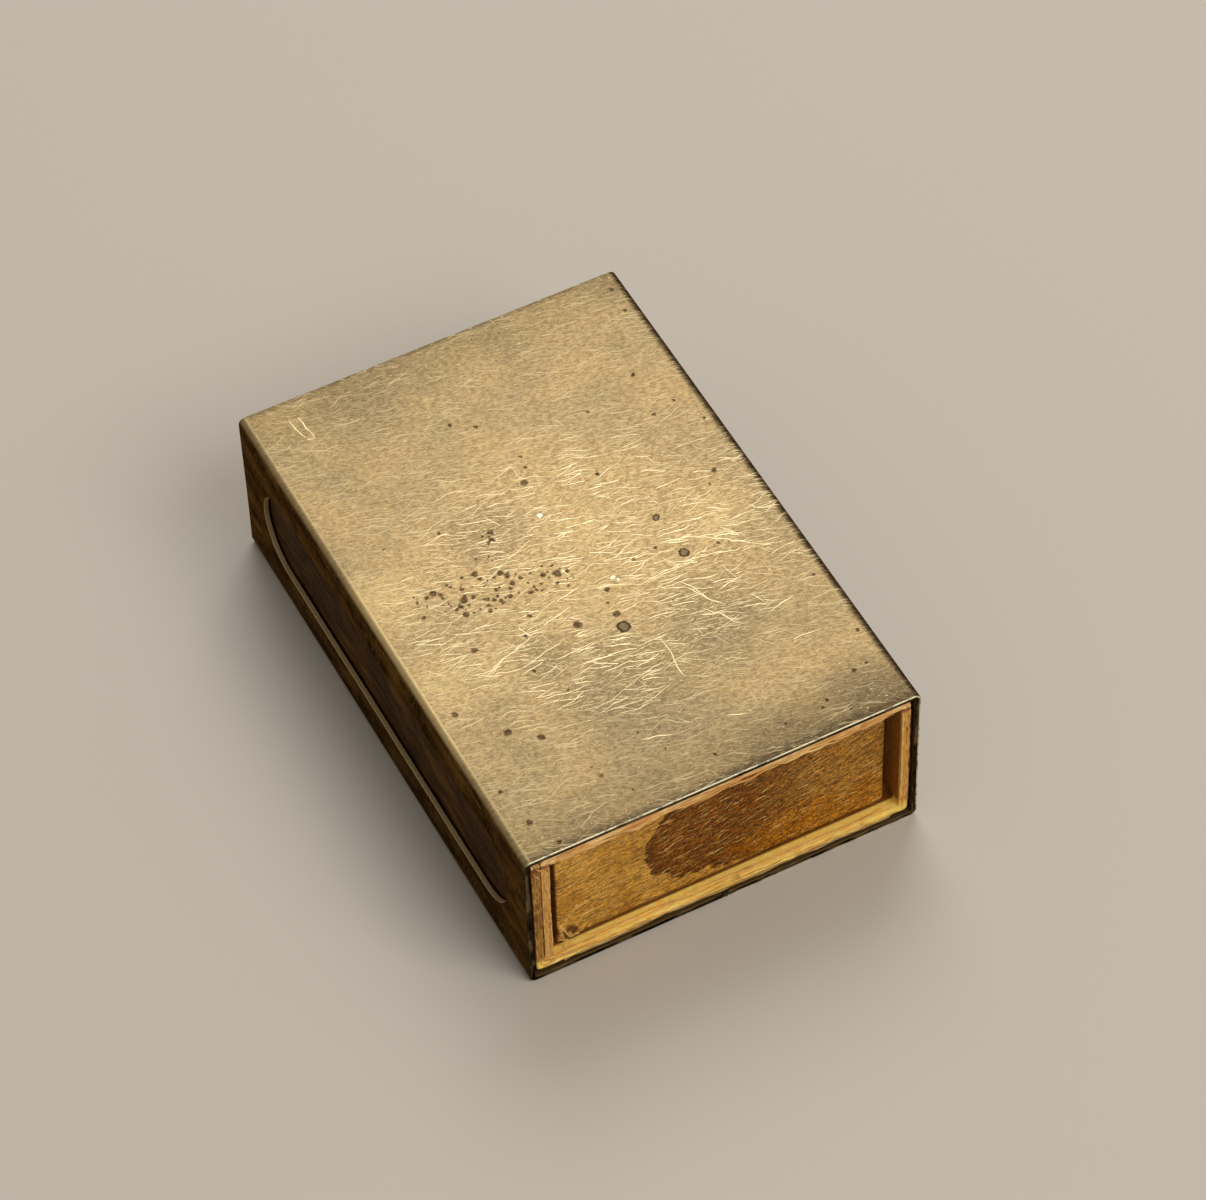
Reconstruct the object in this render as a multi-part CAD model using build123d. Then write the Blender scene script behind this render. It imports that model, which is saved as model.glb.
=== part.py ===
from build123d import *
import math
import os

# A brass matchbox holder with its matchbox inside it. Lengths are millimetres.
# X runs across the holder, Y along it and Z up. The origin is under its middle,
# at the underside, and the end that faces the viewer is the one at the low Y.

# Outer box of the matchbox, folded from one strip of veneer. The folds are scored
# and steamed, so they are sharper outside than a plain bend of that thickness.
slipcase_length = 53.0
slipcase_width = 35.6
slipcase_height = 14.9
veneer = 0.8
fold_inside_radius = 0.15
fold_outside_radius = 0.5
lap_gap = 0.05
lap_end_gap = 0.5

# Friction coats on the two long sides, and blank paper on the two broad faces
striker = 0.1
striker_border = 1.2
label = 0.1
label_border = 1.6

# Holder, folded from one brass sheet round the matchbox and left open at both ends
cover_length = 55.0
sheet = 0.5
bend_radius = 0.7
side_clearance = 0.2
height_clearance = 0.2
slipcase_setback = 0.15

# Window in each long side that bares the friction coat, with full round ends
window_end_rail = 3.9
window_edge_rail = 3.95

# Butt seam under the holder, closed with solder
seam_gap = 0.4
solder_hollow = 0.05

# Tray: four walls from one strip of veneer, a floor glued in, and paper pasted
# round the outside and turned in underneath to bind them
tray_wall = 0.8
tray_floor = 0.7
tray_setback = 1.4
tray_far_gap = 0.6
tray_side_gap = 0.75
tray_under_gap = 0.15
tray_over_gap = 0.5
tray_lap = 12.0
glue_line = 0.1
paper = 0.1
paper_turn_in = 4.0
paper_below_rim = 0.3

# Matches: square splints with dipped heads. The full layers lie parallel, and a few
# more lie askew on them, turned by these degrees.
stick = 1.9
head_coat = 0.15
head_length = 4.4
head_past_tip_share = 0.31
match_gap = 0.1
match_end_gap = 0.5
match_shuffle = 0.3
shuffle_shares = (0.2, -0.8, 0.6, 1.0, -0.3, 0.7, -1.0, 0.4, -0.5, 0.9, 0.0, -0.7, 0.5)
loose_turns = (0.9, -0.7, 1.4, 0.3, -1.3, 0.2)
loose_shift_shares = (0.9, -0.3, 0.5, -0.9, 0.1, -0.6)

overrun = 1.0

# Sizes that follow from those above
matchbox_width = slipcase_width + 2 * striker
matchbox_height = slipcase_height + 2 * label
cover_width = matchbox_width + 2 * (side_clearance + sheet)
cover_height = matchbox_height + 2 * (height_clearance + sheet)
cover_near = -cover_length / 2
slipcase_near = cover_near + slipcase_setback
slipcase_bottom = sheet + height_clearance + label
slipcase_top = slipcase_bottom + slipcase_height
slipcase_side = slipcase_width / 2

paper_near = slipcase_near + tray_setback
paper_far = slipcase_near + slipcase_length - tray_far_gap
paper_left = -slipcase_side + 2 * veneer + lap_gap + tray_side_gap
paper_right = slipcase_side - veneer - tray_side_gap
paper_bottom = slipcase_bottom + veneer + tray_under_gap

tray_near = paper_near + paper
tray_far = paper_far - paper
tray_left = paper_left + paper
tray_right = paper_right - paper
tray_bottom = paper_bottom + paper
tray_top = slipcase_top - veneer - tray_over_gap
tray_corner = fold_outside_radius

inside_left = tray_left + tray_wall
inside_right = tray_right - tray_wall
inside_near = tray_near + 2 * tray_wall + lap_gap
inside_far = tray_far - tray_wall
inside_floor = tray_bottom + tray_floor

head_radius = math.hypot(stick, stick) / 2 + head_coat
head_past_tip = head_length * head_past_tip_share
match_pitch = head_radius + stick / 2 + match_gap
match_stagger = head_length + match_gap
match_start = inside_near + match_end_gap + match_shuffle
match_end = inside_far - match_end_gap
match_length = match_end - match_shuffle - match_stagger - match_start


def along_length(face, near, length):
    """A face drawn across the holder, with its height as Y, run along the holder."""
    return Pos(0, near + length, 0) * Rot(90, 0, 0) * extrude(face, length)


def block(low, high):
    """A plain block between two opposite corners."""
    sizes = [b - a for a, b in zip(low, high)]
    centre = [(a + b) / 2 for a, b in zip(low, high)]
    return Pos(*centre) * Box(*sizes)


def folded_strip(corners, thickness):
    """The face that a strip of this thickness fills when its middle line turns
    square at each of the corners, the folds rounded and both ends cut square."""
    points = [Vector(x, y) for x, y in corners]
    runs = [(b - a).normalized() for a, b in zip(points, points[1:])]
    sides = []
    for hand in (1, -1):
        normals = [Vector(-run.Y, run.X) * (hand * thickness / 2) for run in runs]
        line = [points[0] + normals[0]]
        radii = []
        for corner, before, after in zip(points[1:-1], normals, normals[1:]):
            line.append(corner + before + after)
            towards = runs[len(radii)]
            is_inside = after.dot(towards) < 0
            radii.append(fold_inside_radius if is_inside else fold_outside_radius)
        line.append(points[-1] + normals[-1])
        sides.append(FilletPolyline(*line, radius=radii))
    start = Line(sides[0] @ 0, sides[1] @ 0)
    finish = Line(sides[0] @ 1, sides[1] @ 1)
    return make_face([sides[0], finish, sides[1], start])


# Brass cover

def make_cover_shell():
    outline = RectangleRounded(cover_width, cover_height, bend_radius)
    bore = RectangleRounded(cover_width - 2 * sheet, cover_height - 2 * sheet,
                            bend_radius - sheet)
    middle = Pos(0, cover_height / 2)
    shell = along_length(middle * (outline - bore), cover_near, cover_length)
    window_length = cover_length - 2 * window_end_rail
    window_height = cover_height - 2 * window_edge_rail
    window = Plane.YZ * Pos(0, cover_height / 2) * SlotOverall(window_length, window_height)
    shell -= extrude(window, cover_width / 2 + overrun, both=True)
    seam = block((-seam_gap / 2, cover_near - overrun, -overrun),
                 (seam_gap / 2, -cover_near + overrun, sheet + overrun))
    return shell - seam


def make_seam_solder():
    return block((-seam_gap / 2, cover_near, solder_hollow),
                 (seam_gap / 2, -cover_near, sheet))


# Slipcase of the matchbox

def make_slipcase_veneer():
    outer_left = -slipcase_side + veneer / 2
    inner_left = outer_left + veneer + lap_gap
    right = slipcase_side - veneer / 2
    low = slipcase_bottom + veneer / 2
    high = slipcase_top - veneer / 2
    wrap = folded_strip([(inner_left, low + veneer / 2 + lap_end_gap),
                         (inner_left, high), (right, high), (right, low),
                         (outer_left, low), (outer_left, slipcase_top - lap_end_gap)],
                        veneer)
    return along_length(wrap, slipcase_near, slipcase_length)


def make_striker(side):
    inner = side * slipcase_side
    outer = side * (slipcase_side + striker)
    return block((min(inner, outer), slipcase_near, slipcase_bottom + striker_border),
                 (max(inner, outer), slipcase_near + slipcase_length,
                  slipcase_top - striker_border))


def make_label(low, high):
    return block((-slipcase_side + veneer + lap_gap + label_border, slipcase_near, low),
                 (slipcase_side - label_border, slipcase_near + slipcase_length, high))


# Tray

def make_tray_rim():
    left = tray_left + tray_wall / 2
    right = tray_right - tray_wall / 2
    near = tray_near + tray_wall / 2
    lapped = near + tray_wall + lap_gap
    far = tray_far - tray_wall / 2
    wrap = folded_strip([(left + tray_lap, lapped), (left, lapped), (left, far),
                         (right, far), (right, near), (tray_left + tray_corner, near)],
                        tray_wall)
    return Pos(0, 0, tray_bottom) * extrude(wrap, tray_top - tray_bottom)


def make_tray_floor():
    left = inside_left + glue_line
    right = inside_right - glue_line
    near = tray_near + tray_wall + glue_line
    far = inside_far - glue_line
    lap_side = tray_left + tray_wall / 2 + tray_lap + glue_line
    lap_front = inside_near + glue_line
    outline = Polyline((left, lap_front), (lap_side, lap_front), (lap_side, near),
                       (right, near), (right, far), (left, far), close=True)
    blank = make_face(outline)
    blank = fillet([v for v in blank.vertices() if v.X < lap_side - glue_line
                    or v.X > lap_side + glue_line], fold_inside_radius)
    return Pos(0, 0, tray_bottom) * extrude(blank, tray_floor)


def make_tray_paper():
    middle = Pos((paper_left + paper_right) / 2, (paper_near + paper_far) / 2)
    width = paper_right - paper_left
    length = paper_far - paper_near
    outline = middle * RectangleRounded(width, length, tray_corner + paper)
    bore = middle * RectangleRounded(width - 2 * paper, length - 2 * paper, tray_corner)
    hole = middle * Rectangle(width - 2 * paper_turn_in, length - 2 * paper_turn_in)
    band = Pos(0, 0, paper_bottom) * extrude(outline - bore,
                                             tray_top - paper_below_rim - paper_bottom)
    turn_in = Pos(0, 0, paper_bottom) * extrude(outline - hole, paper)
    return band + turn_in


# Matches, each drawn with its tip at the low Y and its middle line on the Y axis

def make_stick():
    return block((-stick / 2, head_past_tip, -stick / 2),
                 (stick / 2, match_length, stick / 2))


def make_head():
    half = head_length / 2
    bulb = EllipticalCenterArc((0, half), head_radius, half, start_angle=-90, arc_size=180)
    profile = make_face([bulb, Line(bulb @ 1, bulb @ 0)])
    return revolve(profile, Axis.Y) - make_stick()


# All heads are at one end, where they prop the layers apart, so the layers slope.
# A layer is given by the height of its matches' middle lines at two places: over
# the inner heads, and where the sticks end.
heads_at = match_start + match_stagger + match_shuffle + head_length / 2
tails_at = match_end


def on_slope(x, y, heights, turn=0):
    """The place of a match whose middle is at x and y on a layer's slope."""
    drop = (heights[0] - heights[1]) / (tails_at - heads_at)
    z = heights[0] - drop * (y - heads_at)
    tilt = -math.degrees(math.atan(drop))
    return Pos(x, y, z) * Rot(tilt, 0, 0) * Rot(0, 0, turn) * Pos(0, -match_length / 2, 0)


def full_layers():
    """For each layer its heights and the places of its matches. The heads stagger
    like a chequerboard, so that each lies between its neighbours' sticks."""
    room = inside_right - inside_left - 2 * (head_radius + match_gap)
    columns = int(room // match_pitch) + 1
    first = (inside_left + inside_right - (columns - 1) * match_pitch) / 2
    room = tray_top - inside_floor - 2 * (2 * head_radius + match_gap)
    count = int(room // match_pitch) + 1
    layers = []
    for layer in range(count):
        heights = (inside_floor + match_gap + head_radius + layer * match_pitch,
                   inside_floor + match_gap + stick / 2 + layer * (stick + match_gap))
        places = []
        for column in range(columns):
            share = shuffle_shares[(columns * layer + column) % len(shuffle_shares)]
            start = match_start + share * match_shuffle
            start += match_stagger * ((column + layer) % 2)
            places.append(on_slope(first + column * match_pitch,
                                   start + match_length / 2, heights))
        layers.append((heights, places))
    return layers


def loose_places(below):
    """Places of the matches that lie askew on the layer with the given heights."""
    heights = (below[0] + 2 * head_radius + match_gap, below[1] + stick + match_gap)
    pitch = (inside_right - inside_left) / len(loose_turns)
    middle = (match_start + match_end - match_shuffle) / 2
    places = []
    for place, (turn, share) in enumerate(zip(loose_turns, loose_shift_shares)):
        places.append(on_slope(inside_left + pitch / 2 + place * pitch,
                               middle + share * match_stagger / 2, heights, turn))
    return places


def write(name, shapes):
    shapes = shapes if isinstance(shapes, list) else [shapes]
    shape = shapes[0] if len(shapes) == 1 else Compound(children=shapes)
    export_step(shape, os.path.join("parts", name + ".step"))


os.makedirs("parts", exist_ok=True)

write("cover_shell", make_cover_shell())
write("seam_solder", make_seam_solder())

write("slipcase_veneer", make_slipcase_veneer())
write("striker_left", make_striker(-1))
write("striker_right", make_striker(1))
write("label_top", make_label(slipcase_top, slipcase_top + label))
write("label_bottom", make_label(slipcase_bottom - label, slipcase_bottom))

write("tray_rim", make_tray_rim())
write("tray_floor", make_tray_floor())
write("tray_paper", make_tray_paper())

one_stick = make_stick()
one_head = make_head()
layers = full_layers()
for number, (heights, places) in enumerate(layers, start=1):
    write(f"match_sticks_layer_{number}", [place * one_stick for place in places])
    write(f"match_heads_layer_{number}", [place * one_head for place in places])
for number, place in enumerate(loose_places(layers[-1][0]), start=1):
    write(f"loose_match_{number}_stick", place * one_stick)
    write(f"loose_match_{number}_head", place * one_head)
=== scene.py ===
import math

import bmesh
import bpy
from mathutils import Euler, Matrix, Vector, noise


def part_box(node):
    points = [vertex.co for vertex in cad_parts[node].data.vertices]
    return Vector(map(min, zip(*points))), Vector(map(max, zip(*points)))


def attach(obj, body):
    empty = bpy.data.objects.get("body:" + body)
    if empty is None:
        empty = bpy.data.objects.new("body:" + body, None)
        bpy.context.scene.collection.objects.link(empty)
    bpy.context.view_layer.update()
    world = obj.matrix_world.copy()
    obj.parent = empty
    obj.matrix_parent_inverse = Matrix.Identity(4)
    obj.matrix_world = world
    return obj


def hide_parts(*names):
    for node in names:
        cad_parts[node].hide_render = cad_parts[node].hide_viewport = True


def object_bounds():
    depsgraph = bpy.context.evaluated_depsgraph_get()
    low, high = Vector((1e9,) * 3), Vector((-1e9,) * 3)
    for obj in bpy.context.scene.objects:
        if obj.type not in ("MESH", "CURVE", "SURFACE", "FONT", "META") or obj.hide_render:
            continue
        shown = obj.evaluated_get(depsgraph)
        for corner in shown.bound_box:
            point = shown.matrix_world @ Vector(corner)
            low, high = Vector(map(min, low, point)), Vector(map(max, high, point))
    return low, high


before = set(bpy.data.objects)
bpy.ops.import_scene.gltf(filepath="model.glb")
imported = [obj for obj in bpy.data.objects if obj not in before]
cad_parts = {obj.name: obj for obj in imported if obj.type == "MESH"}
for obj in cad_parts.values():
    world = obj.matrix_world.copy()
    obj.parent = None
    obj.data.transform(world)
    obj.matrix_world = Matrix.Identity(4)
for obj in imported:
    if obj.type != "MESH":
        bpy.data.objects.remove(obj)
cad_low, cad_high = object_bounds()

# Sizes are metres. X runs across the holder, Y along it, away from the viewer, and Z up.
mm = 0.001

# The view
# A long lens looks down on the holder from its near left corner. The camera is a little out of level.
view_distance = 436.2 * mm
view_azimuth = math.radians(25.994)
view_elevation = math.radians(50.719)
view_roll = math.radians(-2.059)
view_aim = Vector((2.69, -0.32, 8.98)) * mm
focal_length = 150.47
sensor_width = 36.0
nearest_seen = 10 * mm
furthest_seen = 20.0

camera = bpy.data.objects.new("camera", bpy.data.cameras.new("camera"))
bpy.context.collection.objects.link(camera)
camera.data.lens = focal_length
camera.data.sensor_width = sensor_width
camera.data.clip_start = nearest_seen
camera.data.clip_end = furthest_seen
level_view = Euler((math.pi / 2 - view_elevation, 0, -view_azimuth)).to_matrix()
look = level_view @ Matrix.Rotation(view_roll, 3, "Z")
camera.matrix_world = Matrix.Translation(view_aim + look @ Vector((0, 0, view_distance))) @ look.to_4x4()
bpy.context.scene.camera = camera
bpy.context.scene.view_settings.view_transform = "Standard"


# Shapes
# What the pieces have in common: evenly spread marks, bent sheets, closed meshes and worn edges.
touching = 0.001 * mm
smooth_up_to = math.radians(40)
rounded_from = math.radians(50)


def spread(start, end, step):
    """Even marks from start to end, about a step apart."""
    count = max(1, round(abs(end - start) / step))
    return [start + (end - start) * i / count for i in range(count + 1)]


def bent_line(corners, radius, half=0.0, outside=None):
    """The line through the corners with its square turns rounded. Returns marks, which are the
    distances where straights and bends begin and end, and a function from a distance along
    the line and one across it, to the left, to a point. A strip of this half thickness may be
    folded to a sharper radius outside than a plain bend has."""
    corners = [Vector(corner) for corner in corners]
    pieces = []
    marks = [0.0]
    for i in range(1, len(corners)):
        run = corners[i] - corners[i - 1]
        heading = run.normalized()
        left = Vector((-heading.y, heading.x))
        is_last = i == len(corners) - 1
        start = corners[i - 1] + heading * (radius if i > 1 else 0)
        end = corners[i] - heading * (0 if is_last else radius)
        pieces.append((marks[-1], start, heading, left, None))
        marks.append(marks[-1] + (end - start).length)
        if not is_last:
            turn = math.copysign(1, left.dot(corners[i + 1] - corners[i]))
            pieces.append((marks[-1], end, heading, left, turn))
            marks.append(marks[-1] + radius * math.pi / 2)

    def point(along, across):
        begin, start, heading, left, turn = next(
            (piece for piece in reversed(pieces) if along >= piece[0]), pieces[0])
        if turn is None:
            return start + heading * (along - begin) + left * across
        centre = start + left * turn * radius
        arm = start + left * across - centre
        bend = (along - begin) / radius
        if outside and across * turn < 0:
            stretched = corner_reach(bend, radius + half, outside) - radius - half
            arm += arm.normalized() * stretched * abs(across) / half
        arm.rotate(Matrix.Rotation(turn * bend, 2))
        return centre + arm

    return marks, point


def corner_reach(angle, size, rounding):
    """How far a square's outline is from one corner, at an angle from a side, where the corner
    opposite is rounded."""
    heading = Vector((math.cos(angle), math.sin(angle)))
    flat = size / max(heading)
    centre = Vector((size - rounding, size - rounding))
    if flat * min(heading) <= centre.x:
        return flat
    middle = heading.dot(centre)
    return middle + math.sqrt(middle ** 2 - centre.length_squared + rounding ** 2)


def fine_at_bends(marks, fine, step):
    """Places along a bent line, close together in its bends."""
    places = [marks[0]]
    for i, (start, end) in enumerate(zip(marks, marks[1:])):
        places += spread(start, end, fine if i % 2 else step)[1:]
    return places


def fine_at_ends(low, high, fine, reach, step):
    """Marks from low to high that are close together near both ends."""
    return spread(low, low + reach, fine)[:-1] + spread(low + reach, high - reach, step) \
        + spread(high - reach, high, fine)[1:]


def rough(size, *place):
    """Even random relief from 0 to 1 with lumps of about this size."""
    return 0.5 + 0.5 * noise.noise(Vector(place) / size)


def closed_mesh(name, verts, faces, merge=None, **attributes):
    """A mesh whose faces look outwards, with points that are closer than merge made one. Each
    attribute has one number or three for every vertex."""
    mesh = bpy.data.meshes.new(name)
    mesh.from_pydata(verts, [], faces)
    for key, values in attributes.items():
        kind, field = ("FLOAT", "value") if len(values) == len(verts) else ("FLOAT_VECTOR", "vector")
        mesh.attributes.new(key, kind, "POINT").data.foreach_set(field, values)
    solid = bmesh.new()
    solid.from_mesh(mesh)
    if merge:
        bmesh.ops.remove_doubles(solid, verts=solid.verts, dist=merge)
        bmesh.ops.dissolve_degenerate(solid, edges=solid.edges, dist=merge)
    bmesh.ops.recalc_face_normals(solid, faces=solid.faces)
    solid.to_mesh(mesh)
    solid.free()
    return mesh


def solid_grid(name, grids, place):
    """A closed mesh over the outside of a grid with three directions. Place turns a grid point
    into a point in space, and every vertex keeps its grid point, in millimetres, as its grain."""
    verts, grain, faces = [], [], []
    number = {}

    def vertex(index):
        if index not in number:
            number[index] = len(verts)
            spot = [grid[i] for grid, i in zip(grids, index)]
            verts.append(place(*spot))
            grain.extend(value / mm for value in spot)
        return number[index]

    for fixed in range(3):
        a, b = (fixed + 1) % 3, (fixed + 2) % 3
        for end in (0, len(grids[fixed]) - 1):
            for p in range(len(grids[a]) - 1):
                for q in range(len(grids[b]) - 1):
                    ring = []
                    for i, j in ((p, q), (p + 1, q), (p + 1, q + 1), (p, q + 1)):
                        index = [end, end, end]
                        index[a], index[b] = i, j
                        ring.append(vertex(tuple(index)))
                    faces.append(ring)
    return closed_mesh(name, verts, faces, grain=grain)


def new_piece(name, mesh, body):
    """An object with this mesh that rides on a body, shaded smooth between its sharp edges."""
    piece = bpy.data.objects.new(name, mesh)
    bpy.context.collection.objects.link(piece)
    mesh.shade_smooth()
    mesh.set_sharp_from_angle(angle=smooth_up_to)
    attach(piece, body)
    return piece


def join_faces(node):
    """Joins the faces of a CAD node, which come apart, so that their edges can be rounded."""
    weld = node.modifiers.new("joined faces", "WELD")
    weld.merge_threshold = touching


def wear_edges(piece, width, segments=2):
    """Rounds every sharp edge a little, as handling does."""
    bevel = piece.modifiers.new("worn edges", "BEVEL")
    bevel.width = width
    bevel.segments = segments
    bevel.limit_method = "ANGLE"
    bevel.angle_limit = rounded_from
    bevel.harden_normals = True


# Finishes
far_off = 9.0
endless = 1e6


def colour(red, green, blue):
    """A colour as it looks on a screen, from 0 to 255, in the linear scale that shaders use."""
    parts = [part / 255 for part in (red, green, blue)]
    return [part / 12.92 if part <= 0.04045 else ((part + 0.055) / 1.055) ** 2.4 for part in parts] + [1.0]


class Finish:
    """A material, with short calls for the shader nodes that it is made of. Places are in
    millimetres in the holder's own frame, and colours are as they look on a screen."""

    def __init__(self, name, **sockets):
        self.material = bpy.data.materials.new(name)
        self.material.use_nodes = True
        self.tree = self.material.node_tree
        self.shader = self.tree.nodes["Principled BSDF"]
        self.paint(**sockets)
        place = self.node("ShaderNodeTexCoord", {}).outputs["Object"]
        self.place = self.vector("SCALE", place, 1 / mm)

    def node(self, kind, inputs, **settings):
        node = self.tree.nodes.new(kind)
        for name, value in settings.items():
            setattr(node, name, value)
        for socket, value in inputs.items():
            self.fill(node.inputs[socket], value)
        return node

    def fill(self, socket, value):
        if isinstance(value, bpy.types.NodeSocket):
            self.tree.links.new(value, socket)
        else:
            socket.default_value = colour(*value) if socket.type == "RGBA" else value

    def paint(self, **sockets):
        """Sets the finished surface's own values, each of them plain or a pattern."""
        for socket, value in sockets.items():
            self.fill(self.shader.inputs[socket.replace("_", " ")], value)
        return self.material

    def vector(self, operation, a, b):
        second = "Scale" if operation == "SCALE" else 1
        node = self.node("ShaderNodeVectorMath", {0: a, second: b}, operation=operation)
        return node.outputs["Value" if operation == "DISTANCE" else "Vector"]

    def math(self, operation, value, *others):
        """The value with each of the others in turn."""
        for other in others:
            value = self.node("ShaderNodeMath", {0: value, 1: other}, operation=operation).outputs[0]
        return value

    def plus(self, *values):
        return self.math("ADD", *values)

    def times(self, *values):
        return self.math("MULTIPLY", *values)

    def least(self, *values):
        return self.math("MINIMUM", *values)

    def most(self, *values):
        return self.math("MAXIMUM", *values)

    def size(self, value):
        return self.math("ABSOLUTE", value, 0.0)

    def split(self, place):
        return self.node("ShaderNodeSeparateXYZ", {0: place}).outputs

    def joined(self, *parts):
        return self.node("ShaderNodeCombineXYZ", dict(enumerate(parts))).outputs[0]

    def flattened(self, place):
        return self.vector("MULTIPLY", place, (1, 1, 0))

    def read(self, name, output="Vector"):
        return self.node("ShaderNodeAttribute", {}, attribute_name=name).outputs[output]

    def turned(self, place, degrees=(0, 0, 0), stretch=(1, 1, 1), middle=(0, 0, 0)):
        """The place from a middle, turned and then divided by a stretch along each axis."""
        angles = [math.radians(d) for d in degrees]
        inputs = {"Vector": place, "Location": middle, "Rotation": angles, "Scale": stretch}
        return self.node("ShaderNodeMapping", inputs, vector_type="TEXTURE").outputs[0]

    def noise(self, place, size, detail=2.0, roughness=0.5, output="Fac"):
        inputs = {"Vector": place, "Scale": 1 / size, "Detail": detail, "Roughness": roughness}
        return self.node("ShaderNodeTexNoise", inputs).outputs[output]

    def cells(self, place, pitch=1.0):
        """A plane's random cells, about a pitch apart: distance, colour and position of the nearest."""
        return self.node("ShaderNodeTexVoronoi", {"Vector": place, "Scale": 1 / pitch},
                         voronoi_dimensions="2D").outputs

    def wander(self, place, size, reach):
        """The place, moved by up to the reach in slow random waves of this size."""
        waves = self.vector("SUBTRACT", self.noise(place, size, output="Color"), (0.5, 0.5, 0.5))
        return self.vector("ADD", place, self.vector("SCALE", waves, 2 * reach))

    def oval(self, place, middle, half_sizes, degrees=0.0):
        """How far out a place is in an upright oval column: 0 in the middle, 1 at the outline."""
        place = self.turned(place, (0, 0, degrees), (*half_sizes, endless), (*middle, 0))
        return self.vector("DISTANCE", place, (0, 0, 0))

    def spots(self, place, spots):
        """The least distance from a flat place to these round spots, as a share of their radii."""
        least = far_off
        for x, y, radius in spots:
            gap = self.math("DIVIDE", self.vector("DISTANCE", place, (x, y, 0)), radius)
            least = self.least(least, gap)
        return least

    def strokes(self, place, strokes, half_width):
        """Under 1 where a flat place lies in a sliver between the two ends of one of the strokes."""
        least = far_off
        for x0, y0, x1, y1 in strokes:
            length = math.dist((x0, y0), (x1, y1))
            way = self.plus(self.vector("DISTANCE", place, (x0, y0, 0)),
                            self.vector("DISTANCE", place, (x1, y1, 0)))
            detour = self.math("SUBTRACT", way, length)
            least = self.least(least, self.times(detour, length / (2 * half_width ** 2)))
        return least

    def scratches(self, place, layers, half_width):
        """The least distance to short scratches, as a share of their half width. Each layer has a
        direction, a length, the gap between its scratches, and the share of them that is there."""
        least = far_off
        narrow, wide = 1.7 / half_width, 0.65 / half_width
        for degrees, length, pitch, share in layers:
            cell = self.turned(place, (0, 0, degrees), (length, pitch, endless))
            cell = self.vector("ADD", cell, (degrees, length * 9, 0))
            nearest = self.cells(cell)
            offset = self.split(self.vector("SUBTRACT", cell, nearest["Position"]))
            chance = self.split(nearest["Color"])
            slope = self.times(self.math("SUBTRACT", chance[0], 0.5), offset[0])
            gap = self.size(self.math("SUBTRACT", offset[1], slope))
            gap = self.times(gap, self.ramp(chance[2], 0.0, 1.0, wide * pitch, narrow * pitch))
            past_end = self.ramp(self.size(offset[0]), 0.2, 0.5, 0.0, 4.0)
            missing = self.times(self.math("LESS_THAN", chance[1], 1 - share), far_off)
            least = self.least(least, self.plus(gap, past_end, missing))
        return least

    def grains(self, place, pitch, share):
        """The distance to the nearest of some scattered spots of uneven size, as a share of its
        radius. The share is how many of the places for a spot, one for each pitch, have one."""
        nearest = self.cells(place, pitch)
        chance = self.split(nearest["Color"])
        gap = self.math("DIVIDE", nearest["Distance"], self.ramp(chance[0], 0.0, 1.0, 0.1, 0.42))
        missing = self.math("GREATER_THAN", chance[1], share)
        return self.plus(gap, self.times(missing, far_off))

    def ramp(self, value, low, high, bottom=0.0, top=1.0):
        """Bottom where the value is under low, top where it is over high, and smooth between."""
        inputs = {"Value": value, "From Min": low, "From Max": high, "To Min": bottom, "To Max": top}
        return self.node("ShaderNodeMapRange", inputs, interpolation_type="SMOOTHSTEP").outputs[0]

    def mix(self, share, a, b):
        return self.node("ShaderNodeMix", {0: share, 6: a, 7: b}, data_type="RGBA").outputs[2]

    def over(self, base, tint, *shares):
        """The base with a tint on it, which is as strong as the product of the shares."""
        return self.mix(self.times(*shares), base, tint)

    def tinted(self, base, tint, value, low, high, strength=1.0):
        """The base with a tint on it, up to this strength as the value goes from low to high."""
        return self.mix(self.ramp(value, low, high, 0.0, strength), base, tint)

    def scaled(self, base, value, low, high, bottom, top):
        """The base, brighter or darker by a ramp of the value."""
        return self.vector("SCALE", base, self.ramp(value, low, high, bottom, top))

    def bump(self, height, depth):
        """Raises the surface by the depth, in metres, where the height is 1."""
        self.paint(Normal=self.node("ShaderNodeBump", {"Distance": depth, "Height": height}).outputs[0])


# The brass sleeve
# One sheet of brass, pierced with a long window for each side, then folded round a
# block with four bends so that its edges meet underneath. Its top is worn pale, with a
# painted highlight in its middle and painted shade at its borders.
sheet = 0.5 * mm
bend_radius = 0.7 * mm
seam_gap = 0.4 * mm
window_end_rail = 3.9 * mm
window_edge_rail = 3.95 * mm
edge_wear = 0.09 * mm
edge_band = 0.15 * mm
grid_step = 1.1 * mm
steps_in_bend = 8
window_rings = (0, 0.04, 0.14, 0.32, 0.6, 1)
side_panels = (2, 6)
pressed_in = 0.07 * mm
press_size = 9 * mm

cover_low, cover_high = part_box("cover_shell")
cover_length = cover_high[1] - cover_low[1]
cover_height = cover_high[2] - cover_low[2]
cover_side = cover_high[0]


def window_ring(panel_low, panel_high, ys):
    """Quads of a flat panel round its window, as loops of points from the window out to the
    panel's edge. Each point of the edge looks at the nearest point of the window."""
    half_height = (panel_high - panel_low) / 2
    centre = (panel_low + panel_high) / 2
    window_radius = cover_height / 2 - window_edge_rail
    straight = cover_length / 2 - window_end_rail - window_radius
    across = spread(-half_height, half_height, grid_step)
    edge = [Vector((-half_height, y)) for y in ys[:-1]]
    edge += [Vector((a, ys[-1])) for a in across[:-1]]
    edge += [Vector((half_height, y)) for y in reversed(ys[1:])]
    edge += [Vector((a, ys[0])) for a in reversed(across[1:])]
    loops = []
    for ring in window_rings:
        loop = []
        for point in edge:
            middle = Vector((0, max(-straight, min(straight, point.y))))
            rim = middle + (point - middle).normalized() * window_radius
            loop.append(rim.lerp(point, ring) + Vector((centre, 0)))
        loops.append(loop)
    return loops


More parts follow.
